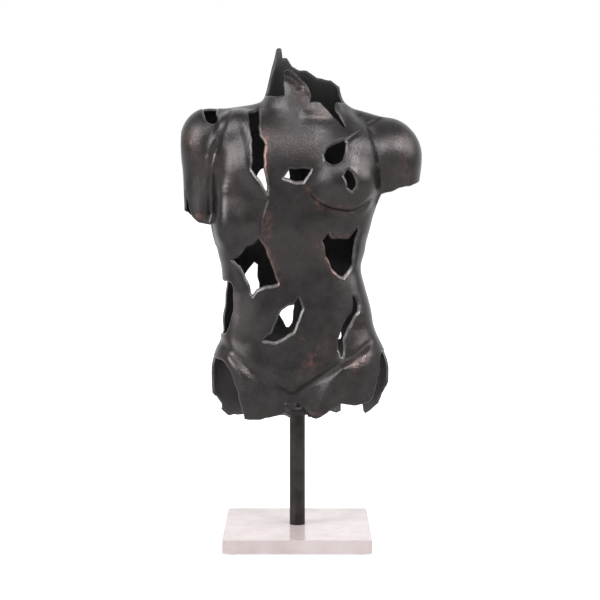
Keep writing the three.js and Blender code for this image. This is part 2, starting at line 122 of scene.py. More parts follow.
# Rounded masses: centre, radii, lean in degrees, blend
MASSES = {
    "left buttock": ((-46, 28, 48), (42, 36, 42), 0, 14),
    "right buttock": ((50, 28, 46), (43, 36, 42), 0, 14),
    "left chest": ((-38, -20, 261), (50, 30, 50), -20, 18),
    "left ribs": ((-44, -22, 211), (38, 26, 40), 14, 14),
    "middle chest": ((8, -18, 267), (44, 28, 46), 0, 18),
    "right breast": ((47, -25, 249), (34, 34, 32), 0, 22),
    "right chest": ((46, -16, 272), (34, 30, 30), 25, 14),
    "left shoulder": ((-90, 4, 288), (27, 30, 34), 0, 12),
    "right shoulder": ((94, 2, 273), (31, 32, 37), 0, 22),
    "left shoulder blade": ((-42, 40, 261), (30, 18, 38), 0, 22),
    "right shoulder blade": ((46, 40, 259), (30, 18, 38), 0, 22),
    "pubic mound": ((-2, -30, 54), (34, 16, 30), 0, 12),
    "left collar": ((-60, -14, 298), (24, 28, 22), 0, 14),
    "right collar": ((56, -16, 279), (26, 28, 24), 0, 20),
}

# Tapered limbs: from, to, radius at each end, blend
LIMBS = {
    "left thigh": ((-45, 2, 54), (-46, 3, -19), 43, 41, 16),
    "right thigh": ((50, 0, 52), (51, 2, -19), 44, 42, 16),
    "left shoulder line": ((-94, 6, 296), (-40, 8, 304), 22, 22, 10),
    "right shoulder line": ((90, 6, 290), (40, 8, 306), 21, 20, 10),
    "left arm": ((-93, 6, 281), (-95, 8, 206), 25, 21, 18),
    "right stump": ((96, 2, 271), (100, 4, 240), 27, 24.5, 20),
    "neck": ((6, 9, 316), (7, 6, 401), 43, 24, 16),
}

# Folds on the front (-1) or back (1): face, dent (below zero raises a crest), width, path
FOLDS = {
    "left groin": (-1, 2.4, 5.0, [(-84, 92), (-69.5, 75.5), (-51.5, 62), (-35, 51), (-20, 41)]),
    "left thigh crest": (-1, -2.6, 6.5, [(-74, 78), (-63, 62), (-55, 48), (-51, 28)]),
    "left thigh seam": (-1, 0.5, 2.6, [(-50, 58), (-38, 44), (-25, 28)]),
    "pubic line": (-1, 2.2, 3.4, [(-30, 46), (-16.5, 38), (-4, 32.5), (5.5, 39.5), (23.5, 51), (44, 64),
        (62.5, 75.5), (80, 88)]),
    "right thigh crest": (-1, -6.0, 9.0, [(54, 72), (42, 54), (30, 36), (16, 0)]),
    "right thigh valley": (-1, 1.5, 7.0, [(50, 50), (49, 38), (46, 22)]),
    "right hip crest": (-1, -2.2, 8.0, [(56, 36), (63, 52), (69, 66), (76, 84)]),
    "crotch knot": (-1, -3.0, 4.0, [(-14, 26), (-9, 20), (-3, 19), (2, 24)]),
    "between the thighs": (-1, 3.0, 9.0, [(1, 50), (3, 34), (5, 20), (6, 4)]),
    "middle of the belly": (-1, 0.35, 1.6, [(1.5, 232), (1.5, 205), (1.5, 176), (1, 140)]),
    "chest crack": (-1, 1.0, 1.5, [(-29, 233), (-32.5, 222), (-35.5, 210), (-37, 194)]),
    "light under the breast": (-1, -1.2, 3.0, [(48, 214), (60, 214.5), (68, 219), (76, 229)]),
    "breast border": (-1, 0.7, 1.8, [(8, 246), (11.5, 239.5), (15.5, 232.5), (22.5, 226.5), (32.5, 221.5),
        (44.5, 218.8), (54.5, 218.8), (62.5, 222.5), (70.5, 228.5), (77.5, 237.5)]),
    "right shoulder top": (-1, 1.2, 2.4, [(88, 312), (75.5, 306.5), (68.5, 302)]),
    "right deltoid crease": (-1, 1.2, 1.6, [(68.5, 304), (73.5, 293.5), (77.5, 279.5), (79, 271.5),
        (82, 262)]),
    "shade under the deltoid": (-1, 1.4, 5.5, [(83, 270), (87, 251.5), (88, 230)]),
    "crease to the hole": (-1, 1.1, 1.5, [(66, 299), (57, 293.5), (47, 285)]),
    "left deltoid crease": (-1, 1.0, 2.4, [(-66, 322), (-68.5, 313), (-72, 302.5), (-77, 290), (-80, 276)]),
    "left strap": (-1, -0.9, 3.0, [(-74.5, 318), (-79, 302.5), (-84.5, 289.5), (-89, 275)]),
    "left strap's outer side": (-1, 0.8, 2.8, [(-81, 314.5), (-85.5, 301.5), (-91, 286.5), (-94, 270)]),
    "hollow by the armpit": (-1, 3.4, 7.5, [(-79, 286), (-80, 270), (-82, 252), (-85, 232), (-86.5, 204)]),
    "arm's inner edge": (-1, -0.8, 3.4, [(-87.5, 280), (-91, 254), (-92, 234), (-92, 218), (-92, 200)]),
    "flat of the arm": (-1, -1.2, 7.0, [(-98, 276), (-97.5, 240), (-97, 204)]),
    "crest of the left chest": (-1, -3.0, 8.0, [(-60, 326), (-54, 300), (-51, 281), (-49, 263), (-41, 249),
        (-29, 232)]),
    "foot of the neck": (-1, -1.0, 7.0, [(-40, 331), (-22, 329), (0, 326)]),
    "step under the collar": (-1, 1.8, 6.0, [(0, 313), (20, 311.5), (40, 308)]),
    "hollow of the tongue": (-1, 3.0, 3.6, [(-18, 354), (-9, 352), (-2, 347), (5, 338)]),
    "lip of the tongue": (-1, -2.4, 2.4, [(-14.5, 359), (-6, 360), (2, 353), (10, 343), (14, 333)]),
    "right neck cord": (-1, -1.6, 3.5, [(41, 329), (42.5, 314), (48, 301)]),
    "hollow by the neck cord": (-1, 1.4, 4.0, [(57, 327), (60, 316), (66, 307)]),
    "hollow under the ribs": (-1, 2.0, 6.0, [(-76.5, 201.5), (-66.5, 189.5), (-55.5, 175.5)]),
    "crest of the ribs": (-1, -0.8, 10.0, [(-61, 221.5), (-48, 208), (-40, 197)]),
    "left flank": (-1, -2.5, 11.0, [(-76, 204), (-70, 186), (-67, 165), (-66, 140), (-66, 110), (-69, 88),
        (-74, 66)]),
    "right flank": (-1, -2.5, 11.0, [(64, 190), (60, 165), (59, 145), (62, 122), (68, 98)]),
    "side of the left ribs": (-1, -3.8, 12.5, [(-80, 256), (-80, 238), (-78, 218), (-75, 198), (-71, 178)]),
    "left waist": (-1, -0.8, 5.0, [(-71, 173.5), (-63, 156.5), (-51.5, 137)]),
    "right waist": (-1, -0.8, 2.5, [(66, 197), (62, 177), (58, 158)]),
    "spine": (1, 5.0, 8.0, [(2, 306), (2, 200), (3, 91)]),
    "spine's inner line": (1, 0.8, 3.5, [(2, 300), (2, 200), (3, 96)]),
    "seat": (1, 8.0, 8.0, [(3, 98), (3, 45), (3, -4)]),
    "left blade": (1, 2.5, 5.0, [(-24, 290), (-20, 262), (-30, 234), (-56, 220), (-78, 232)]),
    "right blade": (1, 2.5, 5.0, [(30, 290), (26, 262), (36, 232), (60, 218), (80, 230)]),
    "left loin": (1, 1.8, 6.0, [(-14, 150), (-18, 118), (-34, 96)]),
    "right loin": (1, 1.8, 6.0, [(18, 150), (23, 118), (40, 96)]),
    "left dimple": (1, 2.0, 5.0, [(-22, 98), (-24, 95)]),
    "right dimple": (1, 2.0, 5.0, [(28, 98), (30, 95)]),
}

# Folds whose metal stands higher on one side: lift of the line's left side, and its reach
FOLD_LIFTS = {
    "pubic line": (-0.3, 14),
    "middle of the belly": (0.2, 5),
    "chest crack": (0.15, 6),
    "breast border": (1.2, 8),
    "right deltoid crease": (0.5, 7),
    "crease to the hole": (0.25, 6),
    "left deltoid crease": (0.4, 6),
    "left blade": (-0.8, 12),
    "right blade": (0.8, 12),
}
FOLD_SPLIT = FRONT_BACK_SPLIT / 2
FOLD_FACE_BAND = 20
FOLD_SPREAD = 2.6
LIFT_TURN = 0.9
FOLD_FADE = 0.14
FOLD_END_WIDTHS = 1.6
SHARP_CREASE = 4

# Places rubbed to bare copper colour: centre from the front, half width, half height, lean, strength
RUBS = [
    (18, 68, 8, 19, 40, 0.9), (4, 92, 3, 6, -20, 0.5), (62, 66, 9, 14, 35, 0.45), (17, 12, 9, 10, 0, 0.6),
    (19, 229, 4, 12, -42, 1.0), (36, 221, 16, 3, 0, 0.8), (-29, 206, 4, 16, 0, 0.9),
    (-24, 223, 8, 3, 0, 0.6), (-31, 278, 3, 34, 0, 0.8), (-26, 168, 4, 26, -23, 0.9),
    (42, 192, 12, 3, 0, 0.9), (31, 168, 4, 22, -28, 0.9), (-104, 212, 8, 6, 0, 0.9),
    (56, 248, 4, 8, 0, 0.3), (22, 318, 14, 7, 0, 0.25), (-108, 290, 6, 14, 0, 0.5),
    (108, 262, 8, 14, 0, 0.35), (66, 100, 6, 10, 0, 0.5), (8, 340, 8, 12, -30, 0.6),
]

# Breaks and holes, each an outline seen from the front, cut through the front (-1), back (1) or both (0)
OPENINGS = {
    "shoulder notch": (-1, [(-98, 324), (-96, 314), (-93.5, 309), (-90, 306), (-86, 305), (-83, 307),
        (-81, 311), (-80, 324)]),
    "split in the left chest": (-1, [(-38, 324), (-36, 294), (-30, 284), (-32, 274), (-32, 266), (-30, 252),
        (-28, 239), (-29, 233), (-40, 250), (-47, 260), (-46, 278), (-48, 302), (-50, 317), (-42, 320)]),
    "hole in the breastbone": (-1, [(-16, 251), (-7, 262), (6, 262), (16, 261), (6, 246), (-6, 248)]),
    "hole above the breast": (-1, [(26, 267), (25, 274), (29, 282), (38, 288), (46, 290), (50, 286),
        (49, 276), (45, 268), (36, 264)]),
    "hole in the breast": (-1, [(44.5, 254), (48, 260), (52, 262), (56.5, 258), (59.5, 250), (59.5, 241),
        (55, 236.5), (49, 240.5)]),
    "hole in the left waist": (-1, [(-38, 193), (-44, 186), (-53, 182), (-61, 172), (-68, 168), (-58, 160),
        (-52, 146), (-48, 134), (-45, 131), (-41, 138), (-38, 140), (-20, 144), (-18, 147), (-24, 162),
        (-30, 178)]),
    "crescent in the belly": (-1, [(1, 134), (5, 128), (6, 120), (2, 108), (-4, 96), (-12, 90), (-22, 86),
        (-36, 86), (-34, 91), (-28, 96), (-22, 108), (-18, 120), (-10, 124), (-4, 126)]),
    "hole in the right waist": (-1, [(24, 188), (32, 198), (35, 192), (52, 190), (62, 204), (63, 196),
        (59, 188), (58, 174), (57, 164), (54, 158), (48, 150), (43, 152), (34, 160), (29, 170), (26, 182)]),
    "slot in the right belly": (-1, [(56, 135), (61, 132), (63, 123), (62, 115), (56, 106), (51, 98),
        (48, 88), (48, 78), (46, 70), (43, 72), (40, 79), (40, 86), (42, 96), (48, 108), (54, 116),
        (56, 125)]),
    "gap in the left side": (-1, [(-84, 144), (-74, 146), (-68, 144), (-66, 136), (-66, 122), (-68, 108),
        (-74, 94), (-85, 90)]),
    "gap in the left hip": (-1, [(-106, 64), (-78, 67), (-74, 64), (-68, 54), (-62, 38), (-58, 22),
        (-54, 6), (-58, -14), (-106, -20)]),
    "gap in the right hip": (-1, [(87, 73), (86, 66), (85, 56), (82, 42), (78, 30), (76, 25), (78, -4),
        (117, -10), (116, 70)]),
    "front hem": (-1, [(-122, 0), (-54, 6), (-34, 7), (-22, 9), (-8, 12), (0, 13), (9, 7), (18, 6),
        (30, 14), (36, 19), (44, 23), (56, 22), (66, 22), (76, 25), (127, 26), (128, -104), (-122, -104)]),
    "back hem": (1, [(-122, 30), (-90, 26), (-86, 21), (-82, 14), (-82, 8), (-74, 0), (-20, 0), (24, 2),
        (34, 3), (46, 0), (46, 13), (69, 14), (70, 9), (72, 0), (87, 13), (93, 28), (96, 39), (127, 46),
        (128, -106), (-122, -106)]),
    "end of the left arm in front": (-1, [(-150, 238), (-117, 238), (-114, 226), (-108, 210), (-102, 206),
        (-93, 204), (-88, 202), (-87.5, 194), (-86, 180), (-84, 136), (-152, 136)]),
    "end of the left arm behind": (1, [(-152, 216), (-116, 216), (-108, 208), (-102, 204), (-90, 201),
        (-88, 196), (-86, 180), (-84, 136), (-152, 136)]),
    "end of the right arm": (0, [(156, 257), (121, 244), (104, 240), (86, 233), (83.5, 228), (82, 220),
        (79, 204), (77, 190), (76, 167), (157, 167)]),
    "broken neck in front": (-1, [(-78, 370), (-42, 340), (-32, 334), (-14, 334), (-15, 358), (-12, 360),
        (-8, 360), (1, 353), (10, 344), (14, 336), (13, 328), (24, 328), (29, 322), (38, 313), (48, 302),
        (44, 310), (39, 320), (40, 328), (48, 328), (76, 340), (76, 451), (-78, 451)]),
    "broken neck behind": (1, [(-78, 384), (-18, 384), (-17, 374), (-14, 376), (-6, 366), (4, 362),
        (10, 362), (21, 355), (30, 352), (37, 352), (46, 344), (50, 332), (84, 340), (84, 452),
        (-78, 452)]),
    "hole between the shoulder blades": (1, [(-38, 260), (-8, 260), (-8, 250), (-13, 236), (-29, 230),
        (-38, 236), (-44, 250)]),
    "hole in the left loin": (1, [(-46, 162), (-42, 160), (-42, 148), (-40, 134), (-41, 123), (-54, 124),
        (-62, 140), (-54, 152)]),
    "hole in the middle of the loin": (1, [(-22, 118), (-4, 123), (-4, 109), (-6, 99), (-9, 94), (-12, 94),
        (-17, 104)]),
    "hole in the right loin": (1, [(40, 93), (46, 91), (47, 85), (45, 81), (40, 82)]),
}


def new_object(name, data):
    made = bpy.data.objects.new(name, data)
    bpy.context.collection.objects.link(made)
    return made


def place_camera():
    camera = bpy.data.cameras.new("camera")
    camera.sensor_width = SENSOR_WIDTH
    camera.lens = LENS
    camera.clip_end = CLIP_END
    holder = new_object("camera", camera)
    holder.location = CAMERA_AT
    holder.rotation_euler = (math.pi / 2 - CAMERA_PITCH, 0, 0)
    bpy.context.scene.camera = holder


# Field of the figure: below zero inside, above zero outside, about a millimetre to the unit

def melt(a, b, width):
    h = np.maximum(width - np.abs(a - b), 0) / width
    return np.minimum(a, b) - h ** 3 * width / 6


def trunk_at(z, column):
    heights, values = TRUNK[:, 0], TRUNK[:, column]
    slopes = np.gradient(values, heights)
    slopes[1:-1] = (values[2:] - values[:-2]) / (heights[2:] - heights[:-2])
    z = np.clip(z, heights[0], heights[-1])
    i = np.clip(np.searchsorted(heights, z) - 1, 0, len(heights) - 2)
    step = heights[i + 1] - heights[i]
    t = (z - heights[i]) / step
    return ((2 * t ** 3 - 3 * t ** 2 + 1) * values[i] + (t ** 3 - 2 * t ** 2 + t) * step * slopes[i]
            + (3 * t ** 2 - 2 * t ** 3) * values[i + 1] + (t ** 3 - t ** 2) * step * slopes[i + 1])


def trunk_field(p):
    x, y, z = p.T
    left, right, front, back = (trunk_at(z, column) for column in range(1, 5))
    middle, half = (left + right) / 2, (right - left) / 2
    depth = np.where(y < 0, front, back)
    u, v = np.abs((x - middle) / half), np.abs(y / depth)
    reach = (u ** TRUNK_SQUARENESS + v ** TRUNK_SQUARENESS + 1e-9) ** (1 / TRUNK_SQUARENESS)
    side = np.hypot(x - middle, y) * (1 - 1 / reach)
    ends = np.maximum(z - TRUNK[-1, 0], TRUNK[0, 0] - z)
    return -melt(-side, -ends, TRUNK_END_BLEND)


def mass_field(p, centre, radii, lean):
    dx, dy, dz = (p - np.array(centre, float)).T
    c, s = math.cos(math.radians(lean)), math.sin(math.radians(lean))
    q = np.stack([dx * c - dz * s, dy, dx * s + dz * c], -1) / np.array(radii, float)
    near = np.linalg.norm(q, axis=1)
    slope = np.linalg.norm(q / np.array(radii, float), axis=1)
    return near * (near - 1) / np.maximum(slope, 1e-9)


def limb_field(p, start, end, first_radius, last_radius):
    start, end = np.array(start, float), np.array(end, float)
    along, offset = end - start, p - start
    t = np.clip(offset @ along / (along @ along), 0, 1)
    radius = first_radius + (last_radius - first_radius) * t
    return np.linalg.norm(offset - t[:, None] * along, axis=1) - radius


def smooth_figure(p):
    value = trunk_field(p)
    for centre, radii, lean, blend in MASSES.values():
        value = melt(value, mass_field(p, centre, radii, lean), blend)
    for start, end, first_radius, last_radius, blend in LIMBS.values():
        value = melt(value, limb_field(p, start, end, first_radius, last_radius), blend)
    return value


def curve_through(path, steps=4):
    """A smooth line through the points of a path, ends included."""
    points = np.array([path[0], *path, path[-1]], float)
    line = []
    for a, b, c, d in zip(points, points[1:], points[2:], points[3:]):
        for t in np.arange(steps) / steps:
            line.append(0.5 * (2 * b + (c - a) * t + (2 * a - 5 * b + 4 * c - d) * t ** 2
                               + (3 * b - a - 3 * c + d) * t ** 3))
    return np.array(line + [points[-1]])


def place_by_line(x, z, line):
    """Distance to a line, the side it lies on and how far along it is."""
    nearest = np.full(len(x), FAR)
    side, along = np.zeros(len(x)), np.zeros(len(x))
    steps = np.hypot(*np.diff(line, axis=0).T)
    travelled = np.concatenate([[0], np.cumsum(steps)]) / steps.sum()
    for n, ((ax, az), (bx, bz)) in enumerate(zip(line, line[1:])):
        dx, dz = bx - ax, bz - az
        t = np.clip(((x - ax) * dx + (z - az) * dz) / (dx * dx + dz * dz), 0, 1)
        away = np.hypot(x - ax - t * dx, z - az - t * dz)
        closer = away < nearest
        nearest = np.where(closer, away, nearest)
        turn = np.sign((z - az) * dx - (x - ax) * dz)
        side = np.where(closer, turn, side)
        along = np.where(closer, travelled[n] + t * (travelled[n + 1] - travelled[n]), along)
    return nearest, side, along


def smooth_step(t):
    t = np.clip(t, 0, 1)
    return t * t * (3 - 2 * t)


FOLD_LINES = {name: curve_through(path) for name, (_, _, _, path) in FOLDS.items()}


def fold_depth(p, shade=False):
    """How far the folds press in, or with shade how close a point lies to a sharp crease, which sets the
    painted shade along it.
    """
    x, y, z = p.T
    total = np.zeros(len(p))
    for name, (face, dent, width, _) in FOLDS.items():
        line = FOLD_LINES[name]
        lift, reach = FOLD_LIFTS.get(name, (0, width))
        spread = FOLD_SPREAD * max(width, reach)
        low, high = line.min(0) - spread, line.max(0) + spread
        near = np.where((x > low[0]) & (x < high[0]) & (z > low[1]) & (z < high[1])
                        & (face * (y - FOLD_SPLIT) > -FOLD_FACE_BAND / 2))[0]
        if not len(near) or (shade and not (dent > 0 and width < SHARP_CREASE)):
            continue
        mask = smooth_step(0.5 + face * (y[near] - FOLD_SPLIT) / FOLD_FACE_BAND)
        away, side, along = place_by_line(x[near], z[near], line)
        length = np.hypot(*np.diff(line, axis=0).T).sum()
        ends = min(max(FOLD_FADE, FOLD_END_WIDTHS * width / length), 0.5)
        fade = smooth_step(along / ends) * smooth_step((1 - along) / ends)
        push = (min(dent, 1) if shade else dent) * np.exp(-(away / width) ** 2)
        if lift and not shade:
            push = push - lift * np.tanh(side * away / LIFT_TURN) * np.exp(-(away / reach) ** 2)
        total[near] += push * mask * fade
    return total


def carved_figure(p):
    return smooth_figure(p) + fold_depth(p)


def slope_of(field, p, probe=0.4):
    sides = []
    for axis in range(3):
        step = np.zeros(3)
        step[axis] = probe
        sides.append((field(p + step) - field(p - step)) / (2 * probe))
    return np.stack(sides, -1)


def unit(vectors):
    return vectors / np.linalg.norm(vectors, axis=1)[:, None]


def settle(p, field, rounds=3, least_slope=0.1):
    """Moves points onto the surface where the field is nought."""
    for _ in range(rounds):
        slope = slope_of(field, p)
        push = field(p) / np.maximum((slope ** 2).sum(1), least_slope)
        p = p - np.clip(push, -GRID, GRID)[:, None] * slope
    return p


# Outlines of the breaks

def outline_distance(x, z, outline):
    """Distance to a closed outline seen from the front, below zero within it, and the way out of it."""
    nearest, within = np.full(len(x), FAR), np.zeros(len(x), bool)
    sideways, upward, weights = np.zeros(len(x)), np.zeros(len(x)), np.zeros(len(x))
    pairs = list(zip(outline, outline[1:] + outline[:1]))
    turn = np.sign(sum(ax * bz - bx * az for (ax, az), (bx, bz) in pairs))
    for (ax, az), (bx, bz) in pairs:
        dx, dz = bx - ax, bz - az
        length = math.hypot(dx, dz)
        t = np.clip(((x - ax) * dx + (z - az) * dz) / length ** 2, 0, 1)
        away = np.hypot(x - ax - t * dx, z - az - t * dz)
        nearest = np.minimum(nearest, away)
        weight = (away ** 2 + 1) ** -2
        weights += weight
        sideways += weight * turn * dz / length
        upward -= weight * turn * dx / length
        crosses = ((az > z) != (bz > z)) & (x < dx * (z - az) / (bz - az + 1e-12) + ax)
        within ^= crosses
    return np.where(within, -nearest, nearest), sideways / weights, upward / weights


def broad_lip(sideways, upward):
    """Extra width of a hole's lip where the metal lies below the hole or to its right."""
    return LOWER_LIP_EXTRA * np.maximum(-upward, 0) ** 2 + RIGHT_LIP_EXTRA * np.maximum(sideways, 0) ** 2


def torn(place, along, depth, broad_wave, fine_wave, start):
    """A place moved by the wander of a torn edge, on a broad wave and a fine one."""
    return (place + TORN_BROAD * np.sin(along / broad_wave + start)
            + TORN_FINE * np.sin(along / fine_wave + depth / TORN_DRIFT))


def room_to_break(p, names=""):
    """Distance to the nearest break of those names, above zero on metal that stays."""
    x, y, z = p.T
    x, z = torn(x, z, y, 3.4, 1.9, 1), torn(z, x, y, 3.1, 1.7, 2)
    split = FRONT_BACK_SPLIT + SPLIT_BROAD * np.sin(z / 9.7) + SPLIT_FINE * np.sin(z / 4.1 + x / 30)
    room = np.full(len(p), FAR)
    for name, (face, outline) in OPENINGS.items():
        if not name.startswith(names):
            continue
        away, sideways, upward = outline_distance(x, z, outline)
        if face < 0 and name.startswith(HOLE_NAMES):
            away -= HOLE_LIP_START + broad_lip(sideways, upward)
        else:
            away -= LIP_BULGE
        if face:
            away = np.maximum(away, -face * (y - split) - LIP_BULGE)
        room = np.minimum(room, away)
    return room


# The casting's mesh

def renumbered(faces):
    """The points that faces use, and the faces counted on those alone."""
    used, renewed = np.unique(faces, return_inverse=True)
    return used, renewed.reshape(faces.shape)


def sides_of(faces):
    return np.concatenate([faces[:, [0, 1]], faces[:, [1, 2]], faces[:, [2, 0]]])


def figure_skin():
    """Points and four-sided faces of the carved figure's surface, on a fine grid."""
    low, block, blocks_near = DRAWN_LOW, 4, 1.9
    count = np.ceil((DRAWN_HIGH - low) / (GRID * block)).astype(int) * block
    coarse = [low[a] + (np.arange(count[a] // block) + 0.5) * GRID * block for a in range(3)]
    centres = np.stack(np.meshgrid(*coarse, indexing="ij"), -1).reshape(-1, 3)
    rough = smooth_figure(centres).reshape([c // block for c in count])
    values = rough.repeat(block, 0).repeat(block, 1).repeat(block, 2)
    band = np.argwhere(np.abs(values) < blocks_near * block * GRID)
    values[tuple(band.T)] = carved_figure(low + band * GRID)
    inside = values < 0
    sums = np.zeros([c - 1 for c in count] + [3])
    hits = np.zeros([c - 1 for c in count])
    quads = []
    for axis in range(3):
        first, second = [slice(None)] * 3, [slice(None)] * 3
        first[axis], second[axis] = slice(None, -1), slice(1, None)
        crossing = np.argwhere(inside[tuple(first)] != inside[tuple(second)])
        crossing = crossing[((crossing > 0) & (crossing < count - 2)).all(1)]
        step = np.zeros(3, int)
        step[axis] = 1
        start, end = values[tuple(crossing.T)], values[tuple((crossing + step).T)]
        point = crossing + step * (start / (start - end))[:, None]
        u, v = np.roll(step, 1), np.roll(step, 2)
        ring = [crossing, crossing - u, crossing - u - v, crossing - v]
        for cell in ring:
            np.add.at(sums, tuple(cell.T), point)
            np.add.at(hits, tuple(cell.T), 1)
        corners = np.stack([np.ravel_multi_index(tuple(cell.T), hits.shape) for cell in ring], -1)
        outward = start < 0
        quads.append(np.where(outward[:, None], corners, corners[:, ::-1]))
    used, quads = renumbered(np.concatenate(quads))
    points = sums.reshape(-1, 3)[used] / hits.reshape(-1)[used][:, None]
    return settle(low + points * GRID, carved_figure), quads


def snap_to_breaks(points, room, snap=0.3, least_slope=0.3):
    """Slides the points that lie close to a break onto it, along the figure's surface."""
    near = np.abs(room) < snap * GRID
    slope = slope_of(room_to_break, points[near])
    across = unit(slope_of(carved_figure, points[near]))
    slope -= (slope * across).sum(1)[:, None] * across
    push = room[near] / np.maximum((slope ** 2).sum(1), least_slope)
    points[near] = settle(points[near] - push[:, None] * slope, carved_figure, 1)
    room[near] = 0


def crossing_places(start, end, rising, halvings=7):
    """Where the lines from start to end cross a break, found by halving them."""
    low, high = np.zeros(len(start)), np.ones(len(start))
    for _ in range(halvings):
        half = (low + high) / 2
        before = (room_to_break(start + (end - start) * half[:, None]) < 0) == rising
        low, high = np.where(before, half, low), np.where(before, high, half)
    return settle(start + (end - start) * low[:, None], carved_figure, 1)


def cut_along_breaks(points, quads):
    """Keeps the metal outside the breaks, with the cut faces ending exactly on their outlines."""
    room = room_to_break(points)
    snap_to_breaks(points, room)
    shorter = (np.linalg.norm(points[quads[:, 0]] - points[quads[:, 2]], axis=1)
               < np.linalg.norm(points[quads[:, 1]] - points[quads[:, 3]], axis=1))
    quads = np.where(shorter[:, None], quads, np.roll(quads, -1, 1))
    faces = np.concatenate([quads[:, [0, 1, 2]], quads[:, [0, 2, 3]]])
    sides = np.sign(room[faces])
    middle = room_to_break(points[faces].mean(1))
    flat = (sides == 0).all(1)
    keep = ((sides >= 0).all(1) & ~flat) | (flat & (middle > 0))
    mixed = faces[(sides > 0).any(1) & (sides < 0).any(1)]
    edges = np.unique(np.sort(sides_of(mixed), 1), axis=0)
    edges = edges[np.sign(room[edges[:, 0]]) * np.sign(room[edges[:, 1]]) < 0]
    cuts = crossing_places(points[edges[:, 0]], points[edges[:, 1]], room[edges[:, 0]] < 0)
    where = {(int(i), int(j)): len(points) + n for n, (i, j) in enumerate(edges)}
    kept = [tuple(face) for face in faces[keep]]
    for face in mixed:
        loop = []
        for i, j in zip(face, np.roll(face, -1)):
            if room[i] >= 0:
                loop.append(int(i))
            if room[i] * room[j] < 0:
                loop.append(where[(int(min(i, j)), int(max(i, j)))])
        for n in range(1, len(loop) - 1):
            kept.append((loop[0], loop[n], loop[n + 1]))
    points = np.concatenate([points, cuts])
    room = np.concatenate([room, np.zeros(len(cuts))])
    used, kept = renumbered(np.array(kept))
    return points[used], kept, room[used]


# How a triangle with one, two or three halved sides is divided: corners 0 to 2, halves of its sides 3 to 5
DIVISIONS = {1: [(0, 3, 2), (3, 1, 2)], 2: [(3, 1, 4), (0, 3, 4), (0, 4, 2)],
             3: [(0, 3, 5), (3, 1, 4), (5, 4, 2), (3, 4, 5)]}


def refine(points, faces, tolerance=0.08, shortest=0.9, rounds=3):
    """Halves the edges that leave the figure's surface, except along the rims."""
    for _ in range(rounds):
        sides = np.stack([faces, np.roll(faces, -1, 1)], -1).reshape(-1, 2)
        edges, which, times = np.unique(np.sort(sides, 1), axis=0, return_inverse=True, return_counts=True)
        which = which.reshape(-1, 3)
        a, b = points[edges[:, 0]], points[edges[:, 1]]
        middle = (a + b) / 2
        split = (np.abs(carved_figure(middle)) > tolerance) & (times == 2)
        split &= np.linalg.norm(a - b, axis=1) > 2 * shortest
        new = np.full(len(edges), -1)
        new[split] = len(points) + np.arange(split.sum())
        points = np.concatenate([points, settle(middle[split], carved_figure)])
        halves = new[which]
        count = (halves >= 0).sum(1)
        made = [faces[count == 0]]
        first = np.where(count == 2, (halves < 0).argmax(1) + 1, 0)
        first = np.where(count == 1, (halves >= 0).argmax(1), first)
        order = (first[:, None] + np.arange(3)) % 3
        turned = [np.take_along_axis(each, order, 1) for each in (faces, halves)]
        corners = np.concatenate(turned, 1)
        for halved, division in DIVISIONS.items():
            chosen = corners[count == halved]
            made += [chosen[:, part] for part in division]
        faces = np.concatenate(made)
    return points, faces


def largest_piece(points, faces, room):
    """Drops crumbs that the breaks leave loose."""
    label = np.arange(len(points))
    while True:
        least = label[faces].min(1)
        new = label.copy()
        for corner in range(3):
            np.minimum.at(new, faces[:, corner], least)
        new = new[new]
        if (new == label).all():
            break
        label = new
    names, sizes = np.unique(label[faces[:, 0]], return_counts=True)
    faces = faces[label[faces[:, 0]] == names[sizes.argmax()]]
    used, faces = renumbered(faces)
    return points[used], faces, room[used]


def rim_edges(faces):
    """The edges with metal on one side only, in the direction their face walks them."""
    edges = sides_of(faces)
    _, which, times = np.unique(np.sort(edges, 1), axis=0, return_inverse=True, return_counts=True)
    return edges[times[which.reshape(-1)] == 1]


def way_into_breaks(rim, inward, probe=0.6, least_slope=0.2):
    """Unit way from each rim point into its break, along the metal's surface."""
    way = -slope_of(room_to_break, rim, probe)
    way -= (way * inward).sum(1)[:, None] * inward
    length = np.linalg.norm(way, axis=1)[:, None]
    return np.where(length > least_slope, way / np.maximum(length, 1e-6), 0)


def lip_reach(rim, way):
    """How far the lip at each rim point stands into its break."""
    on_hole = room_to_break(rim, HOLE_NAMES) < ON_BREAK
    in_front = rim[:, 1] < FRONT_BACK_SPLIT - BROAD_LIP_MARGIN
    broad = HOLE_LIP_START + broad_lip(-way[:, 0], -way[:, 2]) + HOLE_LIP_REACH
    return np.where(on_hole & in_front, broad, LIP_BULGE)[:, None]


def shell_marks(shell, outer, inner, inner_room, on_rim):
    """Values kept on the casting's points for its finish."""
    lips = len(shell) - outer - inner
    lip_depths = np.repeat([depth for depth, _ in LIP_PROFILE], len(on_rim))
    near_edge = np.concatenate([room_to_break(shell[:outer]), inner_room, np.zeros(lips)])
    edge = EDGE_BRIGHTNESS * np.exp(-np.maximum(near_edge, 0) / EDGE_FADE)
    on_bright = room_to_break(shell[on_rim], BRIGHT_EDGE_NAMES) < ON_BREAK
    edge[outer + inner:] = np.tile(np.where(on_bright, LIP_BRIGHTNESS, DIM_LIP_BRIGHTNESS), len(LIP_PROFILE))
    height = shell[:, 2]
    near_hem = smooth_step((HEM_LIGHT_TOP - height) / HEM_LIGHT_BAND)
    in_neck = smooth_step((height - NECK_LIGHT_FOOT) / NECK_LIGHT_BAND)
    return {
        "inside": np.concatenate([np.zeros(outer), np.ones(inner), lip_depths]),
        "edge": edge,
        # Closeness to a sharp crease, which sets the painted shade along it
        "fold": np.concatenate([fold_depth(shell[:outer], shade=True), np.zeros(inner + lips)]),
        "rub": rubbed(shell),
        # Painted daylight on the inner wall, below the hips and close to the broken neck
        "painted_daylight": np.maximum(near_hem, NECK_LIGHT_SHARE * np.exp(-near_edge / NECK_LIGHT_FADE) * in_neck),
    }


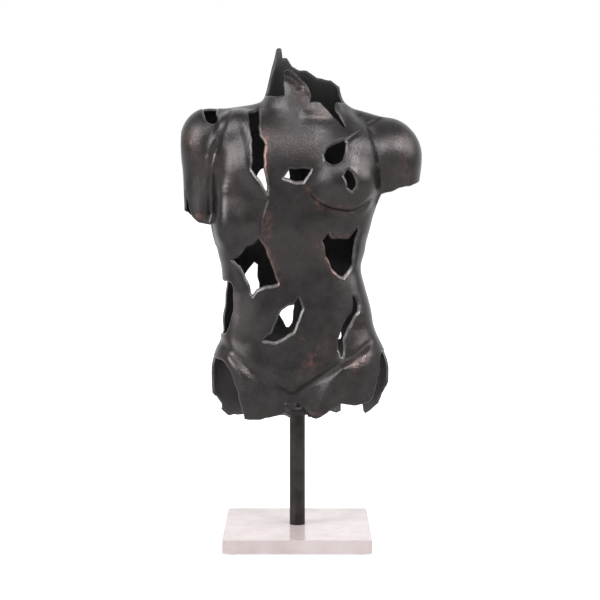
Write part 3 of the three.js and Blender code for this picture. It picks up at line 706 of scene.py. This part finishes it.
def cast_shell():
    """The casting: carved outside, plain inner wall, and a rounded lip along every break between them."""
    coarse, coarse_faces, room = largest_piece(*cut_along_breaks(*figure_skin()))
    inward = unit(-slope_of(smooth_figure, coarse, 1.0))
    points, faces = refine(coarse, coarse_faces)
    rim = rim_edges(faces)
    on_rim = np.unique(rim)
    way = way_into_breaks(points[on_rim], inward[on_rim])
    reach = lip_reach(points[on_rim], way)
    outer, inner = len(points), len(coarse)
    place = np.full(inner, -1)
    place[on_rim] = np.arange(len(on_rim))
    rows, levels = [points, coarse + WALL * inward], [np.arange(outer)]
    for row, (depth, across) in enumerate(LIP_PROFILE):
        rows.append(points[on_rim] + depth * WALL * inward[on_rim] + across * reach * way)
        levels.append(outer + inner + row * len(on_rim) + place)
    levels.append(outer + np.arange(inner))
    all_faces = [faces, coarse_faces[:, ::-1] + outer]
    a, b = rim[:, 0], rim[:, 1]
    for upper, lower in zip(levels, levels[1:]):
        all_faces.append(np.stack([upper[b], upper[a], lower[a]], -1))
        all_faces.append(np.stack([upper[b], lower[a], lower[b]], -1))
    shell, all_faces = np.concatenate(rows), np.concatenate(all_faces)
    normals = normals_of(shell, all_faces)
    free = np.setdiff1d(np.arange(outer), on_rim)
    normals[free] = unit(slope_of(carved_figure, points, 0.2))[free]
    return shell, all_faces, shell_marks(shell, outer, inner, room + WALL_MARGIN, on_rim), normals


def normals_of(points, faces):
    across = np.cross(points[faces[:, 1]] - points[faces[:, 0]], points[faces[:, 2]] - points[faces[:, 0]])
    total = np.zeros_like(points)
    for corner in range(3):
        np.add.at(total, faces[:, corner], across)
    return total / np.maximum(np.linalg.norm(total, axis=1), 1e-12)[:, None]


def rubbed(points):
    """How far the patina is rubbed through, on the front only."""
    x, y, z = points.T
    total = np.zeros(len(points))
    for cx, cz, half_width, half_height, lean, strength in RUBS:
        c, s = math.cos(math.radians(lean)), math.sin(math.radians(lean))
        u = ((x - cx) * c - (z - cz) * s) / half_width
        v = ((x - cx) * s + (z - cz) * c) / half_height
        total = np.maximum(total, strength * np.exp(-u * u - v * v))
    return total * (y < FRONT_BACK_SPLIT)


def to_frame(points):
    """From millimetres on the drawn figure to metres in the model's frame."""
    placed = points * FIGURE_SCALE + np.array([AXIS_X, AXIS_Y, HEM_LEVEL])
    return np.clip(placed, torso_low, torso_high)


def new_mesh(name, points, faces, marks=None, normals=None):
    mesh = bpy.data.meshes.new(name)
    mesh.vertices.add(len(points))
    mesh.vertices.foreach_set("co", np.asarray(points, np.float32).ravel())
    mesh.loops.add(3 * len(faces))
    mesh.loops.foreach_set("vertex_index", np.asarray(faces, np.int32).ravel())
    mesh.polygons.add(len(faces))
    mesh.polygons.foreach_set("loop_start", np.arange(0, 3 * len(faces), 3, dtype=np.int32))
    mesh.polygons.foreach_set("use_smooth", np.ones(len(faces), bool))
    for key, values in (marks or {}).items():
        layer = mesh.attributes.new(key, "FLOAT", "POINT")
        layer.data.foreach_set("value", np.asarray(values, np.float32))
    mesh.update(calc_edges=True)
    mesh.validate()
    if normals is not None:
        mesh.normals_split_custom_set_from_vertices(normals)
    return new_object(name, mesh)


def turned_profile(name, profile, sides):
    """A solid turned about the rod's axis from a profile of radius and height that starts and ends on it."""
    points, faces, rings = [], [], []
    for radius, height in profile:
        if radius == 0:
            rings.append([len(points)])
            points.append((AXIS_X, AXIS_Y, height))
            continue
        rings.append(list(range(len(points), len(points) + sides)))
        for n in range(sides):
            angle = 2 * math.pi * n / sides
            points.append((AXIS_X + radius * math.cos(angle), AXIS_Y + radius * math.sin(angle), height))
    for lower, upper in zip(rings, rings[1:]):
        for n in range(sides):
            m = (n + 1) % sides
            if len(lower) > 1:
                faces.append((lower[n], lower[m], upper[m % len(upper)]))
            if len(upper) > 1:
                faces.append((lower[n % len(lower)], upper[m], upper[n]))
    return new_mesh(name, np.array(points), np.array(faces))


# Finishes

def node(tree, kind, **settings):
    made = tree.nodes.new(kind)
    for key, value in settings.items():
        if key.startswith("in_"):
            made.inputs[key[3:]].default_value = value
        else:
            setattr(made, key, value)
    return made


def feed(tree, target, **values):
    for name, value in values.items():
        tree.links.new(value, target.inputs[name.replace("_", " ")])


def object_place(tree):
    return node(tree, "ShaderNodeTexCoord").outputs["Object"]


def maths(tree, operation, *values):
    made = node(tree, "ShaderNodeMath", operation=operation)
    for n, value in enumerate(values):
        if isinstance(value, (int, float)):
            made.inputs[n].default_value = value
        else:
            tree.links.new(value, made.inputs[n])
    return made.outputs[0]


def scaled(tree, value, amount):
    return maths(tree, "MULTIPLY", value, amount)


def ramp(tree, value, low, high):
    """Nought below low, one above high, smooth between."""
    made = node(tree, "ShaderNodeMapRange", interpolation_type="SMOOTHSTEP")
    made.inputs["From Min"].default_value = low
    made.inputs["From Max"].default_value = high
    feed(tree, made, Value=value)
    return made.outputs["Result"]


def blend_colours(tree, share, first, second):
    made = node(tree, "ShaderNodeMix", data_type="RGBA")
    for value, socket in ((share, made.inputs[0]), (first, made.inputs[6]), (second, made.inputs[7])):
        if isinstance(value, (int, float, tuple)):
            socket.default_value = value
        else:
            tree.links.new(value, socket)
    return made.outputs[2]


def patchy(tree, vector, scale, detail=3.0, rough=0.5):
    made = node(tree, "ShaderNodeTexNoise", in_Scale=scale, in_Detail=detail, in_Roughness=rough)
    feed(tree, made, Vector=vector)
    return made.outputs["Fac"]


def grain_group():
    """Fine casting grain: a height for bump and a mask of specks."""
    group = bpy.data.node_groups.new("casting_grain", "ShaderNodeTree")
    face = group.interface
    for name, value in (("Grain size", 900.0), ("Pits", 0.4)):
        face.new_socket(name, in_out="INPUT", socket_type="NodeSocketFloat").default_value = value
    face.new_socket("Height", in_out="OUTPUT", socket_type="NodeSocketFloat")
    face.new_socket("Specks", in_out="OUTPUT", socket_type="NodeSocketFloat")
    start, end = node(group, "NodeGroupInput"), node(group, "NodeGroupOutput")
    place = object_place(group)
    fine = node(group, "ShaderNodeTexNoise", in_Detail=2.0, in_Roughness=0.6)
    feed(group, fine, Vector=place, Scale=start.outputs["Grain size"])
    broad = patchy(group, place, 60.0, 4.0, 0.55)
    pits = ramp(group, patchy(group, place, 420.0, 1.0), 0.62, 0.72)
    height = maths(group, "ADD", scaled(group, fine.outputs["Fac"], 0.45), scaled(group, broad, 0.4))
    sunk = scaled(group, pits, start.outputs["Pits"])
    feed(group, end, Height=maths(group, "SUBTRACT", height, sunk),
         Specks=ramp(group, fine.outputs["Fac"], 0.5, 0.68))
    return group


def use_group(tree, group, **settings):
    made = node(tree, "ShaderNodeGroup", node_tree=group)
    for key, value in settings.items():
        made.inputs[key.replace("_", " ")].default_value = value
    return made


def new_finish(name, **settings):
    finish = bpy.data.materials.new(name)
    finish.use_nodes = True
    tree = finish.node_tree
    shader = tree.nodes["Principled BSDF"]
    for key, value in settings.items():
        shader.inputs[key.replace("_", " ")].default_value = value
    return finish, tree, shader


def roughen(tree, shader, height, distance, strength):
    """Bump that presses a height into a finish, by metres."""
    bump = node(tree, "ShaderNodeBump", in_Distance=distance)
    if isinstance(strength, float):
        bump.inputs["Strength"].default_value = strength
    else:
        feed(tree, bump, Strength=strength)
    feed(tree, bump, Height=height)
    feed(tree, shader, Normal=bump.outputs["Normal"])


def read_mark(tree, name):
    return node(tree, "ShaderNodeAttribute", attribute_name=name).outputs["Fac"]


def bronzed_casting(grain):
    """Dark patina over aluminium, coppery where rubbed, dull inside and bare along the lips, with painted
    shade in the sharp creases and on the inner wall, and painted daylight on the inner wall by the hem and
    the neck.
    """
    finish, tree, shader = new_finish("bronzed_aluminium")
    dark, mid, warm = (0.046, 0.042, 0.0425, 1), (0.066, 0.061, 0.0615, 1), (0.077, 0.062, 0.061, 1)
    # The crease colour is painted shade, laid along the sharp creases
    specks, copper, crease = (0.14, 0.13, 0.13, 1), (0.24, 0.125, 0.105, 1), (0.022, 0.018, 0.018, 1)
    # The inner wall: near-black painted shade, and painted daylight where the hem and the neck are open
    shaded_inside, lit_inside = (0.008, 0.007, 0.007, 1), (0.11, 0.102, 0.102, 1)
    bare_lip, copper_lip = (0.12, 0.112, 0.112, 1), (0.24, 0.13, 0.105, 1)
    above_chest, below_hips = (0.375, 0.41), (0.17, 0.2)
    place = object_place(tree)
    edge, inside = read_mark(tree, "edge"), read_mark(tree, "inside")
    fold, rub = read_mark(tree, "fold"), read_mark(tree, "rub")
    mottle = patchy(tree, place, 55.0, 5.0, 0.6)
    clouds = patchy(tree, place, 16.0, 3.0)
    scuffs = patchy(tree, place, 150.0, 5.0, 0.65)
    grains = use_group(tree, grain, Grain_size=850.0, Pits=0.1)
    # Painted shade along the sharp creases, and rougher metal there
    crease_shade_share = ramp(tree, fold, 0.1, 0.9)
    colour = blend_colours(tree, ramp(tree, mottle, 0.3, 0.7), dark, mid)
    colour = blend_colours(tree, scaled(tree, ramp(tree, clouds, 0.5, 0.7), 0.6), colour, warm)
    colour = blend_colours(tree, scaled(tree, grains.outputs["Specks"], 0.14), colour, specks)
    streaks = scaled(tree, rub, ramp(tree, scuffs, 0.42, 0.66))
    colour = blend_colours(tree, scaled(tree, streaks, 0.7), colour, copper)
    colour = blend_colours(tree, scaled(tree, crease_shade_share, 0.45), colour, crease)
    # Painted shade on the inner wall, lightened by painted daylight by the hem and the neck
    hollow = blend_colours(tree, read_mark(tree, "painted_daylight"), shaded_inside, lit_inside)
    colour = blend_colours(tree, ramp(tree, inside, 0.55, 0.95), colour, hollow)
    lip = blend_colours(tree, scaled(tree, rub, 0.8), bare_lip, copper_lip)
    bare = scaled(tree, ramp(tree, edge, 0.5, 1.0), ramp(tree, scuffs, 0.3, 0.6))
    bare = scaled(tree, bare, maths(tree, "SUBTRACT", 1.0, ramp(tree, inside, 0.35, 0.9)))
    colour = blend_colours(tree, scaled(tree, bare, 0.85), colour, lip)
    rough = maths(tree, "ADD", scaled(tree, mottle, 0.16), 0.22)
    rough = maths(tree, "ADD", rough, scaled(tree, inside, 0.25))
    rough = maths(tree, "ADD", rough, scaled(tree, crease_shade_share, 0.25))
    metal = maths(tree, "SUBTRACT", 0.92, scaled(tree, inside, 0.75))
    feed(tree, shader, Base_Color=colour, Roughness=rough, Metallic=metal)
    parts = node(tree, "ShaderNodeSeparateXYZ")
    tree.links.new(place, parts.inputs[0])
    above, below = (ramp(tree, parts.outputs["Z"], *levels) for levels in (above_chest, below_hips))
    coarse = maths(tree, "MAXIMUM", above, maths(tree, "SUBTRACT", 1.0, below))
    strength = maths(tree, "ADD", scaled(tree, coarse, 0.5), 0.3)
    roughen(tree, shader, grains.outputs["Height"], 0.001, strength)
    return finish


def dark_rod_finish():
    """Dark lacquer with long drawing marks."""
    finish, tree, shader = new_finish("dark_rod", Metallic=0.75)
    dark, mid = (0.030, 0.025, 0.025, 1), (0.050, 0.043, 0.043, 1)
    place = object_place(tree)
    long_marks = node(tree, "ShaderNodeMapping", in_Scale=(1.0, 1.0, 0.06))
    feed(tree, long_marks, Vector=place)
    drawn = patchy(tree, long_marks.outputs["Vector"], 900.0, 2.0)
    mottle = patchy(tree, place, 60.0, 3.0)
    colour = blend_colours(tree, ramp(tree, mottle, 0.35, 0.7), dark, mid)
    feed(tree, shader, Base_Color=colour, Roughness=maths(tree, "ADD", scaled(tree, drawn, 0.2), 0.25))
    roughen(tree, shader, drawn, 0.0002, 0.12)
    return finish


def pale_marble_finish():
    """Polished pale stone, clouded, with thin veins that wander."""
    finish, tree, shader = new_finish("pale_marble", Roughness=0.16)
    clouded, clear, veined = (0.51, 0.43, 0.43, 1), (0.59, 0.52, 0.52, 1), (0.46, 0.37, 0.37, 1)
    bend = (0.05, 0.05, 0.05)
    place = object_place(tree)
    drift = node(tree, "ShaderNodeTexNoise", in_Scale=14.0, in_Detail=3.0)
    feed(tree, drift, Vector=place)
    bent = node(tree, "ShaderNodeVectorMath", operation="MULTIPLY_ADD")
    bent.inputs[1].default_value = bend
    tree.links.new(drift.outputs["Color"], bent.inputs[0])
    tree.links.new(place, bent.inputs[2])
    vein = patchy(tree, bent.outputs[0], 22.0, 6.0, 0.6)
    line = maths(tree, "ABSOLUTE", maths(tree, "SUBTRACT", vein, 0.5))
    line = maths(tree, "SUBTRACT", 1.0, ramp(tree, line, 0.0, 0.035))
    cloud = patchy(tree, place, 30.0, 4.0)
    colour = blend_colours(tree, ramp(tree, cloud, 0.3, 0.7), clouded, clear)
    colour = blend_colours(tree, scaled(tree, line, 0.25), colour, veined)
    feed(tree, shader, Base_Color=colour)
    return finish


def clear_rubber_finish():
    """Milky see-through rubber."""
    finish, tree, shader = new_finish("clear_rubber", Transmission_Weight=0.35, IOR=1.45)
    dull, milky = (0.72, 0.72, 0.70, 1), (0.86, 0.86, 0.84, 1)
    place = object_place(tree)
    haze = patchy(tree, place, 500.0, 2.0)
    rough = maths(tree, "ADD", scaled(tree, haze, 0.2), 0.3)
    feed(tree, shader, Base_Color=blend_colours(tree, haze, dull, milky), Roughness=rough)
    return finish


def pale_floor_finish():
    """A white floor, lit a little from itself where the camera looks at it."""
    finish, tree, shader = new_finish("pale_floor", Roughness=0.9)
    shader.inputs["Base Color"].default_value = (0.5, 0.5, 0.5, 1)
    shader.inputs["Emission Color"].default_value = (1, 1, 1, 1)
    seen = node(tree, "ShaderNodeLightPath").outputs["Is Camera Ray"]
    parts = node(tree, "ShaderNodeSeparateXYZ")
    tree.links.new(object_place(tree), parts.inputs[0])
    far_back = scaled(tree, ramp(tree, parts.outputs["Y"], 0.1, 1.0), 0.6)
    glow = maths(tree, "MAXIMUM", scaled(tree, seen, 0.95), far_back)
    feed(tree, shader, Emission_Strength=glow)
    return finish


# Pieces

# How far a soft edge's middle point lies from the sharp corner, as a share of the softening
SOFT_MIDDLE = 0.3


def make_torso(finish):
    points, faces, marks, normals = cast_shell()
    torso = new_mesh("torso_casting", to_frame(points), faces, marks, normals)
    torso.data.materials.append(finish)
    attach(torso, "root")
    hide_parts("torso_shell")


def soft_lower_edge(radius, low, soft):
    """Profile points from under a disc round its lower edge."""
    return [(radius - soft, low), (radius - SOFT_MIDDLE * soft, low + SOFT_MIDDLE * soft),
            (radius, low + soft)]


def soft_upper_edge(radius, high, soft):
    return [(radius, high - soft), (radius - SOFT_MIDDLE * soft, high - SOFT_MIDDLE * soft),
            (radius - soft, high)]


def make_socket(finish):
    """The boss inside the crotch that the rod stands in."""
    gap, wall, soft, mouth = 0.3 * MM, 4 * MM, 1.2 * MM, 0.3 * MM
    bore, outside = ROD_RADIUS + gap, ROD_RADIUS + gap + wall
    top = rod_high[2] + gap
    profile = [(0, top), (bore, top), (bore, SOCKET_BOTTOM + mouth), (bore + mouth, SOCKET_BOTTOM),
               *soft_lower_edge(outside, SOCKET_BOTTOM, soft),
               *soft_upper_edge(outside, top + wall, soft), (0, top + wall)]
    socket = turned_profile("rod_socket", profile, 64)
    # The socket's marks paint half of the crease shade on it
    for name, value in (("inside", 0.4), ("edge", 0.0), ("fold", 0.5), ("rub", 0.0), ("painted_daylight", 1.0)):
        layer = socket.data.attributes.new(name, "FLOAT", "POINT")
        layer.data.foreach_set("value", [value] * len(socket.data.vertices))
    socket.data.materials.append(finish)
    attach(socket, "root")


def make_rod(finish):
    soft, steps = 0.5 * MM, 12
    low, high = rod_low[2], rod_high[2]
    profile = [(0, low), (ROD_RADIUS - soft, low), (ROD_RADIUS, low + soft)]
    for n in range(1, steps):
        profile.append((ROD_RADIUS, low + (high - low) * n / steps))
    profile += [(ROD_RADIUS, high - soft), (ROD_RADIUS - soft, high), (0, high)]
    rod = turned_profile("rod", profile, 72)
    rod.data.materials.append(finish)
    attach(rod, "root")
    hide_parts("support_rod")


def rounded_block(name, low, high, corner, edge, corner_steps=6):
    """A slab with round upright corners and softened upper and lower edges."""
    mesh = bpy.data.meshes.new(name)
    form = bmesh.new()
    corners = []
    for sx, sy, start in ((1, 1, 0), (-1, 1, 90), (-1, -1, 180), (1, -1, 270)):
        cx = (high[0] if sx > 0 else low[0]) - sx * corner
        cy = (high[1] if sy > 0 else low[1]) - sy * corner
        for n in range(corner_steps + 1):
            angle = math.radians(start + 90 / corner_steps * n)
            corners.append((cx + corner * math.cos(angle), cy + corner * math.sin(angle)))
    bottom = [form.verts.new((x, y, low[2])) for x, y in corners]
    floor = form.faces.new(bottom[::-1])
    top = [form.verts.new((x, y, high[2])) for x, y in corners]
    ceiling = form.faces.new(top)
    for n in range(len(corners)):
        m = (n + 1) % len(corners)
        form.faces.new((bottom[n], bottom[m], top[m], top[n]))
    bmesh.ops.bevel(form, geom=list(floor.edges) + list(ceiling.edges), offset=edge, segments=4,
                    profile=0.5, affect="EDGES")
    for side in form.faces:
        side.smooth = True
    form.to_mesh(mesh)
    form.free()
    return new_object(name, mesh)


def make_base(finish):
    corner, edge = 3 * MM, 0.8 * MM
    base = rounded_block("marble_plate", base_low, base_high, corner, edge)
    base.data.materials.append(finish)
    keep_flats_flat(base)
    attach(base, "root")
    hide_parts("marble_base")


def keep_flats_flat(piece):
    """Weights a piece's normals by its faces' sizes, so that only its edges shade as round."""
    weigh = piece.modifiers.new("flat faces", "WEIGHTED_NORMAL")
    weigh.keep_sharp = True
    held = bpy.context.evaluated_depsgraph_get()
    settled = bpy.data.meshes.new_from_object(piece.evaluated_get(held))
    piece.modifiers.clear()
    piece.data = settled


def make_pads(finish):
    for name in sorted(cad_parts):
        if not name.startswith("foot_pad"):
            continue
        low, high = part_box(name)
        radius, soft = (high[0] - low[0]) / 2, 0.4 * MM
        middle = ((low[0] + high[0]) / 2, (low[1] + high[1]) / 2)
        profile = [(0, low[2]), *soft_lower_edge(radius, low[2], soft),
                   *soft_upper_edge(radius, high[2], soft), (0, high[2])]
        pad = turned_profile(name + "_moulded", profile, 40)
        shift = np.array([middle[0] - AXIS_X, middle[1] - AXIS_Y, 0])
        for vertex in pad.data.vertices:
            vertex.co = Vector(np.array(vertex.co) + shift)
        pad.data.materials.append(finish)
        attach(pad, "root")
        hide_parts(name)


def make_floor():
    mesh = bpy.data.meshes.new("floor")
    half = 12.0
    mesh.from_pydata([(-half, -half, 0), (half, -half, 0), (half, half, 0), (-half, half, 0)], [],
                     [(0, 1, 2, 3)])
    floor = new_object("floor", mesh)
    mesh.materials.append(pale_floor_finish())


# Light

def soft_box(name, at, aim, size, power):
    light = bpy.data.lights.new(name, "AREA")
    light.shape = "RECTANGLE"
    light.size, light.size_y = size
    light.energy = power
    holder = new_object(name, light)
    holder.location = at
    holder.rotation_euler = (Vector(aim) - Vector(at)).to_track_quat("-Z", "Y").to_euler()


def light_studio():
    """A white backdrop, dim in front of the work, a tall soft box each side, a small key and a top box."""
    world = bpy.data.worlds.new("studio")
    bpy.context.scene.world = world
    world.use_nodes = True
    tree = world.node_tree
    background = tree.nodes["Background"]
    background.inputs["Color"].default_value = (1, 1, 1, 1)
    direction = node(tree, "ShaderNodeTexCoord").outputs["Generated"]
    parts = node(tree, "ShaderNodeSeparateXYZ")
    tree.links.new(direction, parts.inputs[0])
    behind = ramp(tree, parts.outputs["Y"], 0.45, 0.75)
    glow = maths(tree, "ADD", scaled(tree, behind, 0.6), 0.5)
    seen = node(tree, "ShaderNodeLightPath").outputs["Is Camera Ray"]
    strength = node(tree, "ShaderNodeMix", data_type="FLOAT", in_B=1.0)
    feed(tree, strength, Factor=seen, A=glow)
    feed(tree, background, Strength=strength.outputs["Result"])
    aim = (AXIS_X, AXIS_Y, 0.32)
    soft_box("left box", (-1.38, -0.82, 0.97), aim, (0.95, 1.2), 24)
    soft_box("right box", (1.4, -0.3, 1.05), aim, (1.1, 1.0), 14)
    soft_box("right key", (0.85, -1.05, 1.25), aim, (0.34, 0.34), 11)
    soft_box("top box", (0.0, -1.05, 1.35), aim, (1.3, 0.45), 7)
    bpy.context.scene.view_settings.view_transform = "Standard"


place_camera()
grain = grain_group()
casting_finish = bronzed_casting(grain)
make_torso(casting_finish)
make_socket(casting_finish)
make_rod(dark_rod_finish())
make_base(pale_marble_finish())
make_pads(clear_rubber_finish())
make_floor()
light_studio()
